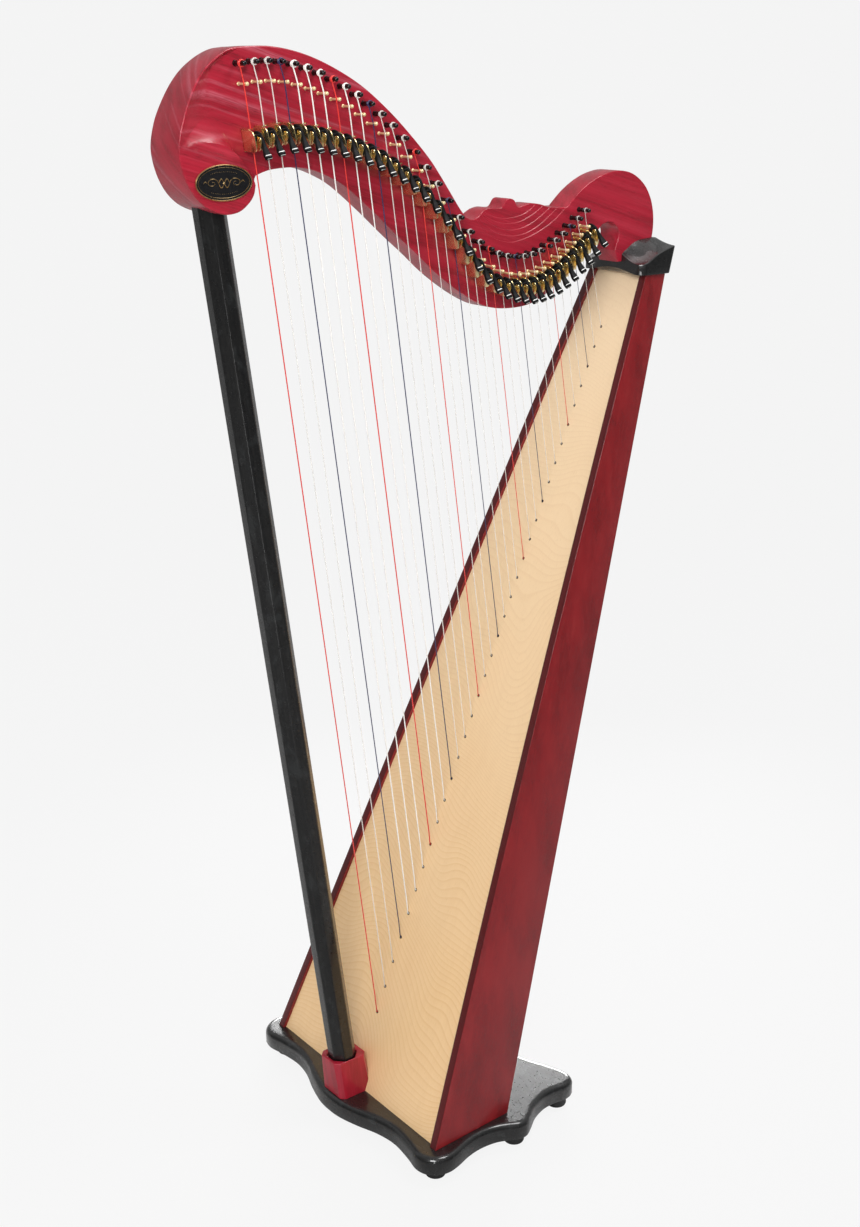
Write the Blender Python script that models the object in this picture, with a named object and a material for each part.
"""Floor-standing lever harp: base board on feet, soundbox, neck, pillar, strings and levers.

Metres, +Z up, floor at z = 0. The pillar is towards -X and the player sits at +X, so the
player's left is -Y. Strings and levers are on the -Y side of the neck.
Working distances along X are measured from the foot of the soundboard; `place` moves the
middle of the whole harp to x = 0.
"""
import math

import bmesh
import bpy
import numpy as np
from mathutils import Matrix, Vector

for old_object in list(bpy.data.objects):
    bpy.data.objects.remove(old_object, do_unlink=True)

# ---------------------------------------------------------------- driving sizes
STRING_COUNT = 34       # also the number of tuning pins, bridge pins and levers
X_MID = 0.1434          # middle of the harp, measured from the soundboard foot
GAP = 0.0003            # play between pieces that touch

FOOT_R, FOOT_H = 0.0145, 0.0190
BASE_Z0, BASE_Z1 = FOOT_H + GAP, 0.0450

BOX_Z0, BOX_Z1 = BASE_Z1 + GAP, 1.1500   # soundbox bottom and top
BOARD_FOOT = np.array([0.0, 0.0451])     # x, z of the soundboard foot
BOARD_TOP = np.array([0.4659, 1.1464])   # x, z of a point high on the soundboard face
BOARD_LEN = 1.1960                       # slope length from the foot to that point
HALF_FOOT, HALF_TOP = 0.1925, 0.0560     # soundbox half width at the foot and at that point
BELLY = 0.0052          # how far the soundboard swells in the middle of its length
SIDE_T = 0.0125         # side panel thickness
EDGE_PROUD = 0.0045     # side panels stand this far out of the soundboard
BOARD_T = 0.0040
RIB_T, RIB_HALF = 0.0060, 0.0110         # string rib behind the soundboard
BACK_FOOT, BACK_TOP = 0.1265, 0.5010     # x of the box's back edge at BASE_Z1 and at BOX_Z1
BACK_T = 0.0040
BACK_INSET = 0.0020     # back panel lies this far inside the back edge

NECK_H = 0.0185         # half thickness of the neck blade
HEAD_H = 0.0320         # half thickness of the pillar end of the neck

PILLAR_FLATS = 0.0360   # octagonal pillar, across flats
PILLAR_X = -0.0136      # x of the pillar axis at the base top
PILLAR_LEAN = -0.1325   # change of x for each metre of height
PILLAR_Z0, PILLAR_Z1 = 0.0760, 1.3000

STRING_Y = -0.0340      # plane of the strings beside the neck
BALL_Y = -0.0362        # bridge pin balls
BRIDGE_END_Y = -0.0070  # inner ends of the bridge pins, inside the neck
PIN_END_Y = -0.0405     # round ends of the tuning pins, on the string side
PIN_BACK_Y = 0.0320     # square ends of the tuning pins, on the far side of the neck
PIN_R, PIN_SQUARE_R = 0.0028, 0.0021
BRIDGE_R, BALL_R = 0.0012, 0.0023

# Small fittings of one kind are joined by a thin square tie bar hidden inside the neck.
TIE = 0.0010            # thickness of a tie bar
PIN_TIE_Y = 0.0060
TIE_INSET = 0.0016      # tie bars lie this far from the inner ends of bridge pins and posts

PIVOT_Y = -0.0419       # lever pivots
CAM_R = 0.0060          # distance from a lever pivot to its cam pin
SEMITONE = 1.0 - 2.0 ** (-1.0 / 12.0)

RED_WOOD = (0.300, 0.020, 0.036)
DARK_RED_WOOD = (0.24, 0.02, 0.03)
BLACK_WOOD = (0.016, 0.018, 0.019)
PALE_WOOD = (0.800, 0.560, 0.310)
RIB_WOOD = (0.62, 0.42, 0.22)
BRASS = (0.780, 0.560, 0.220)
BLUED_STEEL = (0.03, 0.03, 0.035)
RUBBER = (0.02, 0.02, 0.02)
LEVER_BLACK = (0.02, 0.02, 0.022)
NYLON = (0.85, 0.84, 0.80)


# ---------------------------------------------------------------- geometry helpers
def place(x, y, z):
    """Point in the scene from working distances."""
    return (x - X_MID, y, z)


def unit(vector):
    return vector / np.linalg.norm(vector)


def spline(knots, values, targets):
    """Natural cubic spline through (knots, values), read at the targets."""
    knots, values = np.asarray(knots, float), np.asarray(values, float)
    count = len(knots)
    step = np.diff(knots)
    matrix = np.zeros((count, count))
    right = np.zeros(count)
    matrix[0, 0] = matrix[-1, -1] = 1.0
    for i in range(1, count - 1):
        matrix[i, i - 1] = step[i - 1]
        matrix[i, i] = 2 * (step[i - 1] + step[i])
        matrix[i, i + 1] = step[i]
        right[i] = 6 * ((values[i + 1] - values[i]) / step[i]
                        - (values[i] - values[i - 1]) / step[i - 1])
    bend = np.linalg.solve(matrix, right)
    j = np.clip(np.searchsorted(knots, targets) - 1, 0, count - 2)
    after, before = targets - knots[j], knots[j + 1] - targets
    cubic = (bend[j] * before ** 3 + bend[j + 1] * after ** 3) / (6 * step[j])
    return (cubic + (values[j] / step[j] - bend[j] * step[j] / 6) * before
            + (values[j + 1] / step[j] - bend[j + 1] * step[j] / 6) * after)


def curve(points, per):
    """Open Catmull-Rom curve through the points, `per` steps for each span."""
    points = [np.asarray(point, float) for point in points]
    last = len(points) - 1
    result = []
    for i in range(last):
        start, end = points[i], points[i + 1]
        before = points[i - 1] if i > 0 else 2 * start - end
        after = points[i + 2] if i < last - 1 else 2 * end - start
        for k in range(per):
            t = k / per
            result.append(0.5 * (2 * start + (end - before) * t
                                 + (2 * before - 5 * start + 4 * end - after) * t * t
                                 + (3 * start - before - 3 * end + after) * t ** 3))
    result.append(points[-1])
    return [tuple(float(c) for c in point) for point in result]


def resample(points, count, ease):
    """Points along the smooth curve through `points`, crowded to its end if ease < 1 is undone."""
    path = np.array(curve(points, 8))
    spans = np.linalg.norm(np.diff(path, axis=0), axis=1)
    length = np.concatenate([[0], np.cumsum(spans)])
    targets = length[-1] * (1.0 - (1.0 - np.linspace(0, 1, count)) ** ease)
    return [(float(np.interp(target, length, path[:, 0])),
             float(np.interp(target, length, path[:, 1]))) for target in targets]


def grow(outline, distance):
    """Moves a closed polygon's edges outwards by distance (inwards when it is negative)."""
    points = np.asarray(outline, float)
    following = np.roll(points, -1, axis=0)
    area = 0.5 * np.sum(points[:, 0] * following[:, 1] - following[:, 0] * points[:, 1])
    sign = 1.0 if area > 0 else -1.0
    result = []
    for i, point in enumerate(points):
        edge_in = point - points[i - 1]
        edge_out = following[i] - point
        normal_in = sign * unit(np.array([edge_in[1], -edge_in[0]]))
        normal_out = sign * unit(np.array([edge_out[1], -edge_out[0]]))
        mitre = unit(normal_in + normal_out)
        result.append(tuple(point + mitre * distance / max(float(mitre @ normal_in), 0.5)))
    return result


def spans_at(points, i):
    """The spans before and after point i of an open path; an end has its one span twice."""
    first, second = max(i, 1), min(i + 1, len(points) - 1)
    return points[first] - points[first - 1], points[second] - points[second - 1]


def side_axes(direction, reference):
    """Two unit vectors square to a direction."""
    first = direction.cross(Vector(reference)).normalized()
    return first, direction.cross(first).normalized()


class Shells:
    """Collects closed shells as vertices and faces."""

    def __init__(self):
        self.verts, self.faces = [], []

    def add(self, verts, faces):
        start = len(self.verts)
        self.verts += [tuple(float(c) for c in point) for point in verts]
        self.faces += [tuple(i + start for i in face) for face in faces]
        return self

    def merge(self, other):
        return self.add(other.verts, other.faces)

    def skin(self, rings):
        """Skins a run of equal closed rings and caps both ends."""
        sides, last = len(rings[0]), len(rings) - 1
        faces = []
        for ring in range(last):
            low, high = ring * sides, (ring + 1) * sides
            for i in range(sides):
                j = (i + 1) % sides
                faces.append((low + i, low + j, high + j, high + i))
        faces.append(tuple(reversed(range(sides))))
        faces.append(tuple(last * sides + i for i in range(sides)))
        return self.add([point for ring in rings for point in ring], faces)

    def prism_y(self, outline, y0, y1):
        """Outline in x, z pushed along y."""
        return self.skin([[place(x, y, z) for x, z in outline] for y in (y0, y1)])

    def rod(self, path, radius, sides):
        """Round rod along a path, keeping its thickness through bends."""
        points = [Vector(point) for point in path]
        rings = []
        for i, point in enumerate(points):
            before, after = (span.normalized() for span in spans_at(points, i))
            along = (before + after).normalized()
            first, second = side_axes(along, (0, 1, 0) if abs(along.y) < 0.9 else (1, 0, 0))
            stretch = 1.0 / max(along.dot(before), 0.3)
            ring = []
            for s in range(sides):
                angle = 2 * math.pi * (s + 0.5) / sides
                offset = first * math.cos(angle) + second * math.sin(angle)
                if stretch > 1.0005:
                    bend = (after - before).normalized()
                    offset = offset + bend * bend.dot(offset) * (stretch - 1.0)
                ring.append(point + offset * radius)
            rings.append(ring)
        return self.skin(rings)

    def turned(self, origin, axis, profile, sides):
        """Solid of revolution; profile is (distance along axis, radius)."""
        start, along = Vector(origin), Vector(axis).normalized()
        first, second = side_axes(along, (0, 0, 1) if abs(along.z) < 0.9 else (1, 0, 0))
        rings = []
        for distance, radius in profile:
            ring = []
            for s in range(sides):
                angle = 2 * math.pi * s / sides
                offset = first * math.cos(angle) + second * math.sin(angle)
                ring.append(start + along * distance + offset * radius)
            rings.append(ring)
        return self.skin(rings)

    def make(self, name, finish=None, smooth=None):
        """Object from the shells; smooth is the sharp-edge angle in degrees."""
        mesh = bpy.data.meshes.new(name)
        mesh.from_pydata(self.verts, [], self.faces)
        mesh.update()
        work = bmesh.new()
        work.from_mesh(mesh)
        bmesh.ops.recalc_face_normals(work, faces=work.faces)
        work.to_mesh(mesh)
        work.free()
        piece = bpy.data.objects.new(name, mesh)
        bpy.context.scene.collection.objects.link(piece)
        if finish is not None:
            mesh.materials.append(finish)
        if smooth is not None:
            shade(piece, smooth)
        return piece


def square_bar(path, half, extend=0.0):
    """Square bar in a plane of constant y along a path, ends pushed out by `extend`."""
    points = [np.array(point) for point in path]
    start_dir, end_dir = unit(points[0] - points[1]), unit(points[-1] - points[-2])
    points[0] = points[0] + start_dir * extend
    points[-1] = points[-1] + end_dir * extend
    y_axis = np.array([0, 1, 0])
    rings = []
    for i, point in enumerate(points):
        before, after = (unit(span) for span in spans_at(points, i))
        along = unit(before + after)
        normal = np.array([-along[2], 0, along[0]]) / float(along @ before)
        rings.append([point + normal * half * a + y_axis * half * b
                      for a, b in ((-1, -1), (1, -1), (1, 1), (-1, 1))])
    return Shells().skin(rings)


def material(name, colour, metallic=0.0, roughness=0.4):
    finish = bpy.data.materials.new(name)
    finish.use_nodes = True
    shader = finish.node_tree.nodes["Principled BSDF"]
    shader.inputs["Base Color"].default_value = (*colour, 1.0)
    shader.inputs["Metallic"].default_value = metallic
    shader.inputs["Roughness"].default_value = roughness
    finish.diffuse_color = (*colour, 1.0)
    return finish


def shade(piece, degrees):
    piece.data.shade_smooth()
    piece.data.set_sharp_from_angle(angle=math.radians(degrees))


def combine(target, tool, operation, self_cross=False):
    """Applies a Boolean of `tool` on `target` and removes the tool."""
    modifier = target.modifiers.new("bool", "BOOLEAN")
    modifier.operation = operation
    modifier.solver = "EXACT"
    modifier.use_self = self_cross
    modifier.object = tool
    bpy.context.view_layer.update()
    depsgraph = bpy.context.evaluated_depsgraph_get()
    mesh = bpy.data.meshes.new_from_object(target.evaluated_get(depsgraph))
    finishes = list(target.data.materials)
    target.modifiers.clear()
    old_mesh = target.data
    target.data = mesh
    mesh.materials.clear()
    for finish in finishes:
        mesh.materials.append(finish)
    for polygon in mesh.polygons:
        polygon.material_index = 0
    bpy.data.meshes.remove(old_mesh)
    mesh.name = target.name
    bpy.data.objects.remove(tool, do_unlink=True)


# ---------------------------------------------------------------- soundbox frame of reference
SLOPE = unit(BOARD_TOP - BOARD_FOOT)            # up along the soundboard
FACE = np.array([-SLOPE[1], SLOPE[0]])          # out of the soundboard, towards the strings
BOARD_STEPS = 8                                 # straight steps along the soundboard curve


def face_point(along, out):
    """x, z of a point `along` the soundboard and `out` from its face."""
    share = along / BOARD_LEN
    swell = BELLY * 4.0 * share * (1.0 - share)
    return BOARD_FOOT + along * SLOPE + (swell + out) * FACE


def half_width(x, z):
    along = float((np.array([x, z]) - BOARD_FOOT) @ SLOPE)
    return HALF_FOOT + (HALF_TOP - HALF_FOOT) * along / BOARD_LEN


def inner_half_width(x, z):
    return half_width(x, z) - SIDE_T - GAP


def along_at_height(z, out):
    """Distance along the soundboard at which its offset face reaches height z."""
    low, high = -0.05, BOARD_LEN + 0.05
    for _ in range(50):
        middle = 0.5 * (low + high)
        if face_point(middle, out)[1] < z:
            low = middle
        else:
            high = middle
    return 0.5 * (low + high)


def back_x(z):
    """x of the back edge of the soundbox."""
    return BACK_FOOT + (BACK_TOP - BACK_FOOT) * (z - BASE_Z1) / (BOX_Z1 - BASE_Z1)


def face_line(out, z0, z1):
    start, end = along_at_height(z0, out), along_at_height(z1, out)
    return [tuple(face_point(start + (end - start) * i / BOARD_STEPS, out))
            for i in range(BOARD_STEPS + 1)]


def board_strip(out0, out1, z0, z1, width):
    """Curved plate following the soundboard from out0 to out1; width(x, z) is its half width."""
    rings = []
    for (xa, za), (xb, zb) in zip(face_line(out0, z0, z1), face_line(out1, z0, z1)):
        half_a, half_b = width(xa, za), width(xb, zb)
        rings.append([place(xa, -half_a, za), place(xa, half_a, za),
                      place(xb, half_b, zb), place(xb, -half_b, zb)])
    return Shells().skin(rings)


# ---------------------------------------------------------------- string lay-out
STRING_NO = np.arange(1, STRING_COUNT + 1)      # string 1 is the longest, next to the pillar

# distance of each string hole along the soundboard
HOLE_ALONG = (0.10849 + 0.038983 * (STRING_NO - 1) - 0.00044895 * (STRING_NO - 1) ** 2
              + 5.9646e-06 * (STRING_NO - 1) ** 3)

# string numbers, then x of the bridge pins and of the tuning pins at those strings
BRIDGE_X = spline([1, 6, 11, 16, 21, 26, 30, 34],
                  [-0.1422, -0.0544, 0.0312, 0.1146, 0.1962, 0.2699, 0.3246, 0.3735],
                  STRING_NO)
TUNING_X = spline([1, 4, 8, 12, 16, 20, 24, 28, 31, 34],
                  [-0.1457, -0.0945, -0.0247, 0.0425, 0.1085,
                   0.1762, 0.2379, 0.2931, 0.3323, 0.3710],
                  STRING_NO)

# string number, z of its bridge pin, z of its tuning pin
PIN_HEIGHTS = np.array([
    (1, 1.4022, 1.4238), (3, 1.4050, 1.4265), (6, 1.3963, 1.4187), (9, 1.3761, 1.3980),
    (12, 1.3444, 1.3668), (15, 1.3003, 1.3223), (18, 1.2402, 1.2634), (20, 1.2017, 1.2240),
    (22, 1.1788, 1.2010), (25, 1.1653, 1.1880), (28, 1.1702, 1.1930), (31, 1.1905, 1.2118),
    (34, 1.2185, 1.2392)])
BRIDGE_Z = spline(PIN_HEIGHTS[:, 0], PIN_HEIGHTS[:, 1], STRING_NO)
TUNING_Z = spline(PIN_HEIGHTS[:, 0], PIN_HEIGHTS[:, 2], STRING_NO)

STRING_R = np.interp(STRING_NO, [1, 4, 5, 12, 20, 34],
                     [0.00075, 0.00070, 0.00085, 0.00065, 0.00050, 0.00035])

# a stopped string is also stretched, so its fret sits this much nearer the bridge pin
# than the plain semitone distance
FRET_RAISE = np.interp(STRING_NO, [1, 5, 9, 12, 17, 19, 21, 24, 29, 34],
                       [0.0105, 0.0085, 0.0085, 0.0110, 0.0115,
                        0.0075, 0.0040, 0.0018, 0.0010, 0.0])


def bridge_touch(i):
    """Where string i bears on its bridge pin, x and z."""
    return np.array([BRIDGE_X[i] - (BRIDGE_R + GAP + STRING_R[i]), BRIDGE_Z[i]])


def sounding_line(i):
    """From the bridge pin down to the soundboard hole of string i, x and z."""
    return face_point(HOLE_ALONG[i], 0.0) - bridge_touch(i)


def fret_distance(i):
    """Distance from the bridge pin down string i to the place where its lever stops it."""
    return SEMITONE * np.linalg.norm(sounding_line(i)) - FRET_RAISE[i]


def by_lever(i, across, y, up):
    """Point near the lever of string i: `across` the string towards +X and `up` along it."""
    down_dir = unit(sounding_line(i))
    origin = bridge_touch(i) + down_dir * fret_distance(i)
    up_dir = -down_dir
    across_dir = np.array([up_dir[1], -up_dir[0]])
    x, z = origin + across_dir * across + up_dir * up
    return place(float(x), y, float(z))


# ---------------------------------------------------------------- lever bracket lay-out
BRACKET_LEN = 0.0250
POST_R, POST_END_Y = 0.0015, -0.0070     # post that holds a bracket in the neck
POST_RISE = 0.0055                       # post above the bottom of its bracket


def bracket_top(i):
    return min(0.0130, fret_distance(i) - 0.0036)


def bracket_bottom(i):
    return bracket_top(i) - BRACKET_LEN


def post_point(i, y):
    return by_lever(i, 0.0, y, bracket_bottom(i) + POST_RISE)


def pin_tie_path():
    return [place(TUNING_X[i], PIN_TIE_Y, TUNING_Z[i]) for i in range(STRING_COUNT)]


def bridge_tie_path():
    return [place(BRIDGE_X[i], BRIDGE_END_Y - TIE_INSET, BRIDGE_Z[i])
            for i in range(STRING_COUNT)]


def post_tie_path():
    return [post_point(i, POST_END_Y - TIE_INSET) for i in range(STRING_COUNT)]


# ---------------------------------------------------------------- base board and feet
# x, half width of the base board, from the pillar end to the player's end
BASE_HALF = [
    (-0.0470, 0.0), (-0.0450, 0.025), (-0.0365, 0.056), (-0.0250, 0.088), (-0.0200, 0.120),
    (-0.0240, 0.155), (-0.0290, 0.180), (-0.0250, 0.198), (-0.0120, 0.2100), (0.0040, 0.2140),
    (0.0220, 0.2110), (0.0450, 0.2040), (0.0680, 0.2010), (0.0920, 0.2035), (0.1100, 0.2110),
    (0.1230, 0.2175), (0.1370, 0.2175), (0.1510, 0.2090), (0.1700, 0.1960), (0.1940, 0.1870),
    (0.2160, 0.1860), (0.2350, 0.1885), (0.2500, 0.1840), (0.2575, 0.1720), (0.2565, 0.1550),
    (0.2470, 0.1300), (0.2340, 0.1000), (0.2260, 0.0600), (0.2240, 0.0)]

# growth of the outline, z: edge profile of the base board
BASE_EDGE = [(-0.0030, BASE_Z0), (0.0, BASE_Z0 + 0.0025), (0.0, BASE_Z1 - 0.0080),
             (-0.0018, BASE_Z1 - 0.0032), (-0.0080, BASE_Z1)]

# name, x, distance from the middle plane
FOOT_PLACES = [("foot_front", 0.0030, 0.1830), ("foot_mid", 0.1340, 0.1920),
               ("foot_rear", 0.2370, 0.1650)]

# z, radius of a foot
FOOT_PROFILE = [(0.0, FOOT_R - 0.0020), (0.0020, FOOT_R), (FOOT_H - 0.0030, FOOT_R),
                (FOOT_H, FOOT_R - 0.0015)]

SIDES = (("left", -1), ("right", 1))     # name, sign of y


def make_base():
    outline = [(x, -y) for x, y in BASE_HALF] + [(x, y) for x, y in reversed(BASE_HALF[1:-1])]
    rings = [[place(x, y, z) for x, y in grow(outline, growth)] for growth, z in BASE_EDGE]
    finish = material("base_black_wood", BLACK_WOOD, roughness=0.3)
    Shells().skin(rings).make("base_board", finish, smooth=35)


def make_feet():
    for name, x, y in FOOT_PLACES:
        for side, sign in SIDES:
            foot = Shells().turned(place(x, sign * y, 0.0), (0, 0, 1), FOOT_PROFILE, 16)
            finish = material(f"{name}_{side}_rubber", RUBBER, roughness=0.7)
            foot.make(f"{name}_{side}", finish, smooth=35)


# ---------------------------------------------------------------- soundbox
BORE_PLAY = 0.0007      # string holes are this much larger in radius than the strings
BORE_PAST = 0.0040      # boring tools run this far past the plates
RIB_PAST_LOW, RIB_PAST_HIGH = 0.035, 0.022   # rib beyond the first and the last string hole

# z, half width, half height of the holes in the back panel
BACK_HOLES = [(0.245, 0.046, 0.062), (0.445, 0.042, 0.058),
              (0.640, 0.036, 0.052), (0.825, 0.029, 0.045)]
BACK_HOLE_SIDES = 20
BACK_HOLE_REACH = 0.030     # half length of the tool that cuts them


def make_sides():
    outline = face_line(EDGE_PROUD, BOX_Z0, BOX_Z1)
    outline += [(back_x(BOX_Z1), BOX_Z1), (back_x(BOX_Z0), BOX_Z0)]
    for side, sign in SIDES:
        outer = [place(x, sign * half_width(x, z), z) for x, z in outline]
        inner = [place(x, sign * (half_width(x, z) - SIDE_T), z) for x, z in outline]
        finish = material(f"side_{side}_red_wood", RED_WOOD, roughness=0.3)
        Shells().skin([outer, inner]).make(f"soundbox_side_{side}", finish)


def bore_string_holes(plate, out0, out1):
    """Cuts a hole square to the soundboard for every string."""
    tool = Shells()
    for i in range(STRING_COUNT):
        ends = [face_point(HOLE_ALONG[i], out) for out in (out0, out1)]
        tool.rod([place(x, 0, z) for x, z in ends], STRING_R[i] + BORE_PLAY, 5)
    combine(plate, tool.make("bore_tool"), "DIFFERENCE")


def make_board():
    board = board_strip(0.0, -BOARD_T, BOX_Z0, BOX_Z1 - GAP, inner_half_width)
    board = board.make("soundboard", material("soundboard_pale_wood", PALE_WOOD, roughness=0.4))
    bore_string_holes(board, BORE_PAST, -BOARD_T - BORE_PAST)


def make_rib():
    low = face_point(HOLE_ALONG[0] - RIB_PAST_LOW, 0)[1]
    high = face_point(HOLE_ALONG[-1] + RIB_PAST_HIGH, 0)[1]
    rib = board_strip(-BOARD_T - GAP, -BOARD_T - GAP - RIB_T, low, high, lambda x, z: RIB_HALF)
    rib = rib.make("string_rib", material("rib_pale_wood", RIB_WOOD, roughness=0.5))
    bore_string_holes(rib, -BOARD_T + BORE_PAST, -BOARD_T - RIB_T - BORE_PAST)


def make_back():
    rings = []
    for z in (BOX_Z0, BOX_Z1 - GAP):
        outer_x = back_x(z) - BACK_INSET
        inner_x = outer_x - BACK_T
        outer_half, inner_half = inner_half_width(outer_x, z), inner_half_width(inner_x, z)
        rings.append([place(inner_x, -inner_half, z), place(inner_x, inner_half, z),
                      place(outer_x, outer_half, z), place(outer_x, -outer_half, z)])
    finish = material("back_red_wood", DARK_RED_WOOD, roughness=0.4)
    back = Shells().skin(rings).make("soundbox_back", finish)
    tool = Shells()
    angles = [k * math.pi / (BACK_HOLE_SIDES // 2) for k in range(BACK_HOLE_SIDES)]
    for z, wide, high in BACK_HOLES:
        tool.skin([[place(x, wide * math.cos(angle), z + high * math.sin(angle))
                    for angle in angles]
                   for x in (back_x(z) - BACK_HOLE_REACH, back_x(z) + BACK_HOLE_REACH)])
    combine(back, tool.make("hole_tool"), "DIFFERENCE")


# ---------------------------------------------------------------- pillar
BLOCK_Z1 = 0.1030
SOCKET_PLAY = 0.0012    # block socket is this much wider across flats than the pillar

# z, x towards the pillar's front, x towards the player, half width, chamfer
BLOCK_SECTIONS = [(BOX_Z0, -0.0392, 0.0150, 0.0250, 0.0060),
                  (0.0985, -0.0452, 0.0070, 0.0220, 0.0066),
                  (BLOCK_Z1, -0.0446, 0.0064, 0.0214, 0.0061)]


def pillar_shape(flats, z0, z1):
    """Leaning octagonal prism on the pillar axis, cut level at both ends."""
    stretch = math.sqrt(1 + PILLAR_LEAN ** 2)
    radius = flats / 2 / math.cos(math.pi / 8)
    rings = []
    for z in (z0, z1):
        axis_x = PILLAR_X + PILLAR_LEAN * (z - BASE_Z1)
        angles = [math.pi / 8 + j * math.pi / 4 for j in range(8)]
        rings.append([place(axis_x + radius * math.cos(angle) * stretch,
                            radius * math.sin(angle), z) for angle in angles])
    return Shells().skin(rings)


def make_pillar():
    finish = material("pillar_black_wood", BLACK_WOOD, roughness=0.25)
    pillar_shape(PILLAR_FLATS, PILLAR_Z0, PILLAR_Z1).make("pillar", finish)


def make_pillar_block():
    rings = []
    for z, x0, x1, half, cham in BLOCK_SECTIONS:
        section = [(x0, -half + cham), (x0 + cham, -half),
                   (x1 - cham, -half), (x1, -half + cham),
                   (x1, half - cham), (x1 - cham, half),
                   (x0 + cham, half), (x0, half - cham)]
        rings.append([place(x, y, z) for x, y in section])
    finish = material("pillar_block_red_wood", RED_WOOD, roughness=0.3)
    block = Shells().skin(rings).make("pillar_block", finish)
    socket = pillar_shape(PILLAR_FLATS + SOCKET_PLAY, PILLAR_Z0 - GAP, 0.1300)
    combine(block, socket.make("socket_tool"), "DIFFERENCE")
    # the block is cut back to seat against the soundboard
    seat = [tuple(face_point(along, out)) for along, out in
            ((-0.06, GAP), (0.16, GAP), (0.16, GAP - 0.06), (-0.06, GAP - 0.06))]
    combine(block, Shells().prism_y(seat, -0.08, 0.08).make("seat_tool"), "DIFFERENCE")


# ---------------------------------------------------------------- neck
# All outlines are x, z and run on from one another around the neck.
# rounded pillar end, from the top down and round to the underside
HEAD_EDGE = [
    (-0.1410, 1.4408), (-0.1560, 1.4382), (-0.1730, 1.4300), (-0.1905, 1.4165),
    (-0.2045, 1.3990), (-0.2165, 1.3770), (-0.2245, 1.3560), (-0.2283, 1.3360),
    (-0.2262, 1.3180), (-0.2200, 1.3000), (-0.2095, 1.2835), (-0.1945, 1.2710),
    (-0.1750, 1.2640), (-0.1560, 1.2655), (-0.1430, 1.2735), (-0.1350, 1.2830),
    (-0.1322, 1.2940)]
# underside towards the player
LOW_EDGE = [
    (-0.1230, 1.3035), (-0.1120, 1.3070), (-0.1000, 1.3093), (-0.0740, 1.3103),
    (-0.0480, 1.3065), (-0.0220, 1.2968), (0.0020, 1.2835), (0.0390, 1.2545),
    (0.0760, 1.2228), (0.1060, 1.1985), (0.1370, 1.1722), (0.1730, 1.1475),
    (0.2050, 1.1305), (0.2300, 1.1232), (0.2600, 1.1208), (0.2885, 1.1232),
    (0.3142, 1.1325), (0.3331, 1.1450), (0.3573, 1.1645), (0.3800, 1.1832),
    (0.3980, 1.2010), (0.4085, 1.2115)]
# small hook above the shoulder block
HOOK = [(0.4165, 1.2178), (0.4260, 1.2200), (0.4355, 1.2178), (0.4423, 1.2126),
        (0.4455, 1.2055), (0.4448, 1.1973), (0.4415, 1.1890)]
# tenon in the shoulder block
TENON = [(0.4391, 1.1817), (0.4450, 1.1660), (0.5000, 1.1660), (0.5075, 1.1900)]
# round player's end, starting at the end of the tenon
DISC = [TENON[-1], (0.5098, 1.2020), (0.5105, 1.2150), (0.5090, 1.2300),
        (0.5031, 1.2480), (0.4900, 1.2665), (0.4680, 1.2810), (0.4423, 1.2860),
        (0.4181, 1.2832), (0.3950, 1.2752), (0.3717, 1.2615), (0.3503, 1.2435)]
# carved top towards the pillar
CREST = [
    (0.3350, 1.2440), (0.3190, 1.2455), (0.3070, 1.2492), (0.2910, 1.2512),
    (0.2780, 1.2492), (0.2700, 1.2478), (0.2640, 1.2560), (0.2570, 1.2588),
    (0.2500, 1.2575), (0.2430, 1.2490), (0.2360, 1.2480), (0.2230, 1.2490),
    (0.2120, 1.2465), (0.2010, 1.2395), (0.1900, 1.2370), (0.1810, 1.2405)]
# plain top, back to the start of the pillar end
TOP_EDGE = [
    (0.1710, 1.2520), (0.1590, 1.2680), (0.1430, 1.2895), (0.1240, 1.3130),
    (0.0940, 1.3430), (0.0610, 1.3720), (0.0220, 1.4000), (-0.0220, 1.4220),
    (-0.0620, 1.4355), (-0.1020, 1.4418)]
# line where the thick pillar end has run down to the blade
COVE = [HEAD_EDGE[0], (-0.1735, 1.4190), (-0.1752, 1.4050), (-0.1720, 1.3850),
        (-0.1650, 1.3620), (-0.1560, 1.3390), (-0.1450, 1.3215), (-0.1340, 1.3110),
        LOW_EDGE[0]]
COVE_EASE = 0.75        # exponent that spaces points along the cove

HEAD_LEVELS = 4         # steps from the head edge to the cove
# Shares of the way along the head edge, from its top:
SWELL_END, SWELL_POWER = 0.38, 0.8   # where full thickness is reached, and how it grows
FLAT_START, FLAT_RAMP = 0.35, 0.25   # where the flat area starts, and the share it grows over
FLAT_END, FLAT_FADE = 1.02, 0.14     # where it would vanish, and the share it shrinks over
FLAT_SHARE = 0.62                    # greatest width of the flat area, as a share to the cove

TOOL_Y = 0.060          # neck drills start this far from the middle plane
# polygonal drills are widened by these factors, and the post drill by a larger play
PIN_DRILL_EASE, BRIDGE_DRILL_EASE, POST_PLAY_EASE = 1.02, 1.05, 1.5
TIE_PLAY = 0.0004
NECK_SOCKET_Z0 = 1.2300


def head_station(level, flat, thick):
    """Share of the way to the cove, and half thickness there, at one level of the head."""
    if flat > 0:
        fall = max(level - 1, 0) / (HEAD_LEVELS - 1)
        share = flat + (1 - flat) * fall if level else 0.0
    else:
        fall = share = level / HEAD_LEVELS
    return share, thick + (NECK_H - thick) * (1 - (1 - fall) ** 2)


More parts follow.
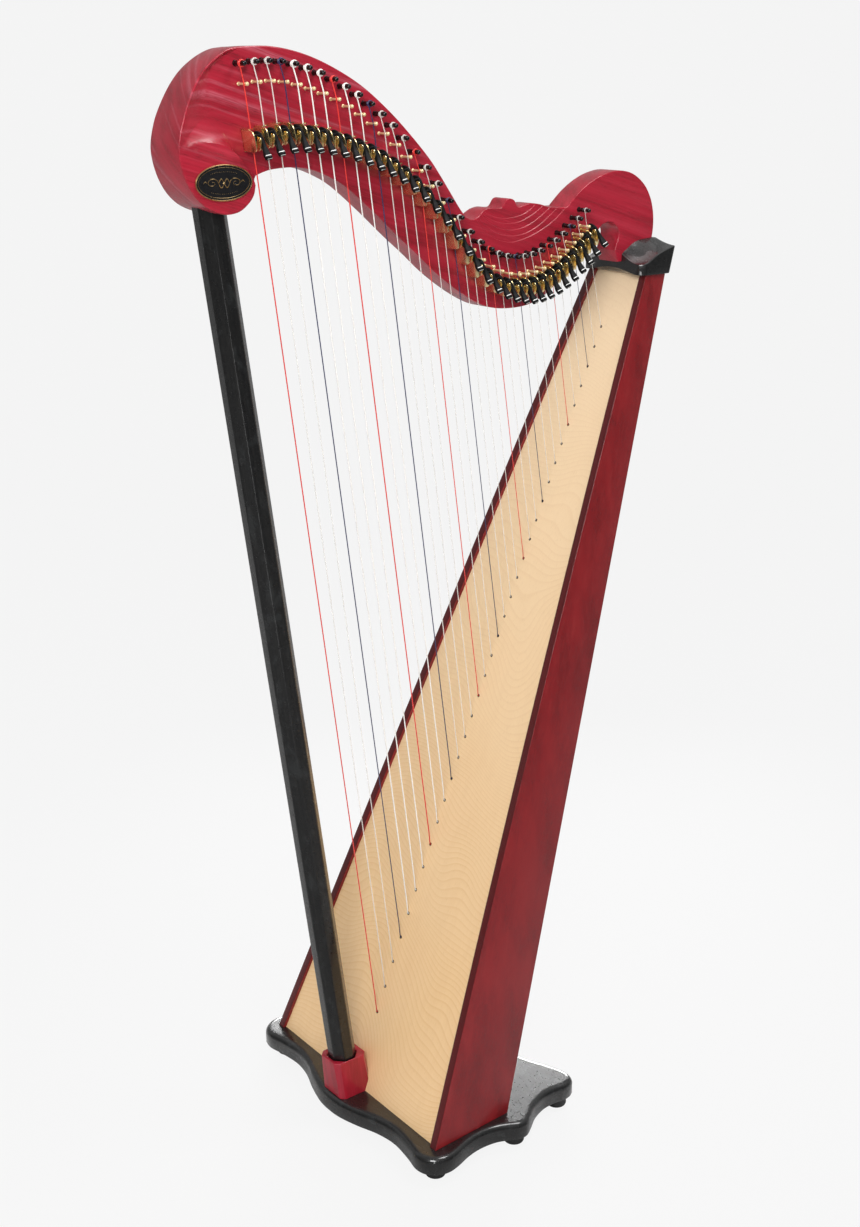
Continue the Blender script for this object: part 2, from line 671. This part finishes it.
def neck_body():
    edge = curve(HEAD_EDGE, 2)
    count = len(edge)
    cove = resample(COVE, count, COVE_EASE)
    along = np.linspace(0, 1, count)
    thick = NECK_H + (HEAD_H - NECK_H) * np.clip(along / SWELL_END, 0, 1) ** SWELL_POWER
    flat = (FLAT_SHARE * np.clip((along - FLAT_START) / FLAT_RAMP, 0, 1)
            * np.clip((FLAT_END - along) / FLAT_FADE, 0, 1))
    blade_outline = LOW_EDGE[1:] + HOOK + TENON + curve(DISC, 2)[1:] + CREST + TOP_EDGE
    verts, faces, rims = [], [], []

    def vertex(x, y, z):
        verts.append(place(x, y, z))
        return len(verts) - 1

    for sign in (-1, 1):
        grid = []
        for i in range(count):
            (edge_x, edge_z), (cove_x, cove_z) = edge[i], cove[i]
            row = []
            for level in range(HEAD_LEVELS + 1):
                if i == 0 and level > 0:      # edge and cove start at one point
                    row.append(row[0])
                    continue
                share, half = head_station(level, flat[i], thick[i])
                row.append(vertex(edge_x + (cove_x - edge_x) * share, sign * half,
                                  edge_z + (cove_z - edge_z) * share))
            grid.append(row)
        blade = [vertex(x, sign * NECK_H, z) for x, z in blade_outline]
        for i in range(count - 1):
            for k in range(HEAD_LEVELS):
                corners = (grid[i][k], grid[i + 1][k], grid[i + 1][k + 1], grid[i][k + 1])
                faces.append(tuple(dict.fromkeys(corners)))   # triangles at the first row
        faces.append(tuple([row[HEAD_LEVELS] for row in grid] + blade))
        rims.append([row[0] for row in grid] + grid[-1][1:] + blade)
    first, second = rims
    for i in range(len(first)):
        j = (i + 1) % len(first)
        faces.append((first[i], first[j], second[j], second[i]))
    return Shells().add(verts, faces)


def neck_tool():
    """Everything cut from the neck: drillings, tie bar channels and the pillar socket."""
    tool = Shells()
    for i in range(STRING_COUNT):
        tool.rod([place(TUNING_X[i], y, TUNING_Z[i]) for y in (-TOOL_Y, TOOL_Y)],
                 (PIN_R + GAP) * PIN_DRILL_EASE, 6)
        tool.rod([place(BRIDGE_X[i], y, BRIDGE_Z[i]) for y in (-TOOL_Y, BRIDGE_END_Y + GAP)],
                 (BRIDGE_R + GAP) * BRIDGE_DRILL_EASE, 5)
        tool.rod([post_point(i, y) for y in (-TOOL_Y, POST_END_Y + GAP)],
                 POST_R + GAP * POST_PLAY_EASE, 4)
    for path in (pin_tie_path(), bridge_tie_path(), post_tie_path()):
        tool.merge(square_bar(path, TIE * 0.5 + TIE_PLAY, GAP))
    return tool.merge(pillar_shape(PILLAR_FLATS + 2 * GAP, NECK_SOCKET_Z0, PILLAR_Z1 + GAP))


def make_neck():
    neck = neck_body().make("neck", material("neck_red_wood", RED_WOOD, roughness=0.3))
    combine(neck, neck_tool().make("pin_tool"), "DIFFERENCE", self_cross=True)


# ---------------------------------------------------------------- shoulder block
SHOULDER_HALF = 0.0588
LIP_H = 0.0060

# x at the foot, lean of the section, cheek height, ridge height, lip (1) or none (0)
SHOULDER_STATIONS = [
    (0.4520, 0.0, 1.1646, 1.1772, 1.0), (0.4600, 0.0, 1.1656, 1.1815, 1.0),
    (0.4612, 0.0, 1.1662, 1.1822, 0.0), (0.4700, 0.0, 1.1705, 1.1880, 0.0),
    (0.4820, 0.0, 1.1775, 1.1925, 0.0), (0.4930, 0.12, 1.1825, 1.1945, 0.0),
    (0.5040, 0.25, 1.1868, 1.1945, 0.0)]
# share of the half width, share of the lip height: underside of a section
SHOULDER_FOOT = [(0.0, 1.0), (0.35, 0.95), (0.70, 0.45), (1.0, 0.0)]
# shares of the half width from the cheek up to the ridge, and the power of that rise
SHOULDER_TOP = [0.86, 0.70, 0.54, 0.42, 0.33]
SHOULDER_POWER = 1.7


def make_shoulder():
    z0 = BOX_Z1 + GAP
    rings = []
    for foot_x, lean, cheek, ridge, lip in SHOULDER_STATIONS:
        half = [(share * SHOULDER_HALF, z0 + lip * LIP_H * rise) for share, rise in SHOULDER_FOOT]
        half.append((SHOULDER_HALF, cheek))
        for share in SHOULDER_TOP:
            climb = (1.0 - share) / (1.0 - SHOULDER_TOP[-1])
            half.append((share * SHOULDER_HALF, cheek + (ridge - cheek) * climb ** SHOULDER_POWER))
        half.append((0.0, ridge))
        section = [(-y, z) for y, z in half] + [(y, z) for y, z in reversed(half[1:-1])]
        rings.append([place(foot_x + lean * (z - z0), y, z) for y, z in section])
    finish = material("shoulder_black_wood", BLACK_WOOD, roughness=0.3)
    block = Shells().skin(rings).make("shoulder_block", finish)
    slot = grow([(0.4360, 1.2300)] + TENON + [DISC[1], (DISC[1][0], 1.2300)], GAP)
    slot_half = NECK_H + GAP
    combine(block, Shells().prism_y(slot, -slot_half, slot_half).make("slot_tool"), "DIFFERENCE")


# ---------------------------------------------------------------- oval plate on the neck's head
OVAL_X, OVAL_Z, OVAL_RX, OVAL_RZ, OVAL_SIDES = -0.1740, 1.2985, 0.0365, 0.0200, 28

# share of the upright radius, height above the neck: raised rim with a face set back in it
OVAL_PROFILE = [(1.0, 0.0), (1.0, 0.0012), (0.97, 0.0018), (0.90, 0.0018), (0.87, 0.0012)]


def make_plate():
    angles = [2 * math.pi * j / OVAL_SIDES for j in range(OVAL_SIDES)]
    rings = []
    for share, height in OVAL_PROFILE:
        radius_x = OVAL_RX - (1 - share) * OVAL_RZ
        rings.append([place(OVAL_X + radius_x * math.cos(angle), -HEAD_H - GAP - height,
                            OVAL_Z + OVAL_RZ * share * math.sin(angle)) for angle in angles])
    finish = material("plate_brass", BRASS, metallic=1, roughness=0.3)
    Shells().skin(rings).make("oval_plate", finish, smooth=30)


# ---------------------------------------------------------------- pins
def make_tuning_pins():
    length = PIN_BACK_Y - PIN_END_Y
    profile = [(0.0, PIN_SQUARE_R), (0.0115, PIN_SQUARE_R), (0.0118, PIN_R), (length, PIN_R)]
    pins = Shells()
    for i in range(STRING_COUNT):
        pins.turned(place(TUNING_X[i], PIN_BACK_Y, TUNING_Z[i]), (0, -1, 0), profile, 6)
    finish = material("pins_blued_steel", BLUED_STEEL, metallic=1, roughness=0.3)
    piece = square_bar(pin_tie_path(), TIE / 2).make("tuning_pins", finish)
    combine(piece, pins.make("pins_all"), "UNION")
    shade(piece, 40)


def make_bridge_pins():
    length = BRIDGE_END_Y - BALL_Y
    profile = [(0.0, BRIDGE_R), (length - BALL_R * 0.80, BRIDGE_R),
               (length - BALL_R * 0.20, BALL_R), (length + BALL_R * 0.90, BALL_R * 0.50)]
    pins = Shells()
    for i in range(STRING_COUNT):
        pins.turned(place(BRIDGE_X[i], BRIDGE_END_Y, BRIDGE_Z[i]), (0, -1, 0), profile, 5)
    finish = material("bridge_brass", BRASS, metallic=1, roughness=0.25)
    piece = square_bar(bridge_tie_path(), TIE / 2).make("bridge_pins", finish)
    combine(piece, pins.make("balls_all"), "UNION")
    shade(piece, 40)


# ---------------------------------------------------------------- strings
BAR_GAP = 0.0006        # between the rib and the bar that joins the strings behind it
BAR_T, BAR_HALF, BAR_PAST = 0.0016, 0.0022, 0.006
STRING_EXIT = 0.0008    # strings run straight this far out of the soundboard


def make_strings():
    bar_out = -BOARD_T - GAP - RIB_T - BAR_GAP
    low = face_point(HOLE_ALONG[0] - BAR_PAST, 0)[1]
    high = face_point(HOLE_ALONG[-1] + BAR_PAST, 0)[1]
    bar = board_strip(bar_out, bar_out - BAR_T, low, high, lambda x, z: BAR_HALF)
    piece = bar.make("strings", material("strings_nylon", NYLON, roughness=0.3))
    runs = Shells()
    for i in range(STRING_COUNT):
        start = face_point(HOLE_ALONG[i], bar_out - BAR_T / 2)
        leave = face_point(HOLE_ALONG[i], STRING_EXIT)
        touch = bridge_touch(i)
        end_x = TUNING_X[i] - (PIN_R + GAP + STRING_R[i])
        path = [place(start[0], 0, start[1]), place(leave[0], 0, leave[1]),
                place(touch[0], STRING_Y, touch[1]), place(end_x, STRING_Y, TUNING_Z[i])]
        runs.rod(path, STRING_R[i], 5)
    combine(piece, runs.make("runs_all"), "UNION")
    shade(piece, 50)


# ---------------------------------------------------------------- lever brackets
CHEEK_IN, CHEEK_OUT = 0.0032, 0.0042     # faces of the cheeks, across the string
CHEEK_LAP = 0.0003                       # the +X cheek laps into the plate by this
CHEEK_Y = -0.0456                        # outer edges of the cheeks
PLATE_Y0 = -NECK_H - GAP                 # plate against the neck
PLATE_Y1 = PLATE_Y0 - 0.0012
POST_LAP = 0.0006                        # posts stop this far short of the plate's outer face

# across, y: plate with the -X cheek
ELL_SECTION = [(CHEEK_IN, PLATE_Y0), (CHEEK_IN, PLATE_Y1), (-CHEEK_IN, PLATE_Y1),
               (-CHEEK_IN, CHEEK_Y), (-CHEEK_OUT, CHEEK_Y), (-CHEEK_OUT, PLATE_Y0)]


def make_brackets():
    parts = Shells()
    for i in range(STRING_COUNT):
        top, bottom = bracket_top(i), bracket_bottom(i)
        parts.skin([[by_lever(i, across, y, up) for across, y in ELL_SECTION]
                    for up in (bottom, top)])
        # y, up: outline of the +X cheek
        cheek = [(PLATE_Y0, bottom), (PLATE_Y0, -0.0013), (-0.0380, -0.0013), (-0.0384, 0.0030),
                 (-0.0436, 0.0036), (CHEEK_Y, -0.0020), (-0.0380, bottom)]
        parts.skin([[by_lever(i, across, y, up) for y, up in cheek]
                    for across in (CHEEK_IN - CHEEK_LAP, CHEEK_OUT)])
        parts.rod([post_point(i, y) for y in (POST_END_Y, PLATE_Y1 + POST_LAP)], POST_R, 4)
    finish = material("bracket_brass", BRASS, metallic=1, roughness=0.25)
    piece = square_bar(post_tie_path(), TIE / 2).make("lever_brackets", finish)
    combine(piece, parts.make("parts_all"), "UNION", self_cross=True)


# ---------------------------------------------------------------- levers
# distances across the string
HUB_NEAR, HUB_FAR = 0.0045, 0.0078
FLARE_NEAR = 0.0002
CAM_NEAR = -0.0016
HUB_LAP = 0.0012        # flare and cam pin run this far into the hub
CAM_PIN_R = 0.0010

# distance from the pivot towards -Y, distance above the pivot
LEVER_SIDE = [
    (-0.0116, 0.0090), (-0.0064, 0.0094), (0.0000, 0.0078), (0.0034, 0.0030),
    (0.0070, -0.0052), (0.0166, -0.0169), (0.0160, -0.0202), (0.0126, -0.0204),
    (0.0040, -0.0122), (-0.0035, -0.0068), (-0.0110, -0.0054), (-0.0123, 0.0006)]
LEVER_FLARE = [
    (0.0046, -0.0042), (0.0068, -0.0055), (0.0162, -0.0170), (0.0157, -0.0198),
    (0.0128, -0.0200), (0.0056, -0.0134), (0.0046, -0.0108)]


def lever_slab(i, outline, near, far):
    return Shells().skin([[by_lever(i, across, PIVOT_Y - out, up) for out, up in outline]
                          for across in (near, far)])


def make_lever(i):
    """Lever with its origin at the pivot."""
    name = f"lever_{i + 1:02d}"
    finish = material(f"{name}_black", LEVER_BLACK, roughness=0.3)
    lever = lever_slab(i, LEVER_SIDE, HUB_NEAR, HUB_FAR).make(name, finish)
    flare = lever_slab(i, LEVER_FLARE, FLARE_NEAR, HUB_NEAR + HUB_LAP)
    flare.rod([by_lever(i, across, PIVOT_Y, CAM_R) for across in (CAM_NEAR, HUB_NEAR + HUB_LAP)],
              CAM_PIN_R, 5)
    combine(lever, flare.make("flare"), "UNION")
    pivot = Vector(by_lever(i, 0.5 * (HUB_NEAR + HUB_FAR), PIVOT_Y, 0.0))
    lever.data.transform(Matrix.Translation(-pivot))
    lever.location = pivot


make_base()
make_feet()
make_sides()
make_board()
make_rib()
make_back()
make_neck()
make_pillar()
make_pillar_block()
make_shoulder()
make_plate()
make_tuning_pins()
make_bridge_pins()
make_strings()
make_brackets()
for lever_index in range(STRING_COUNT):
    make_lever(lever_index)
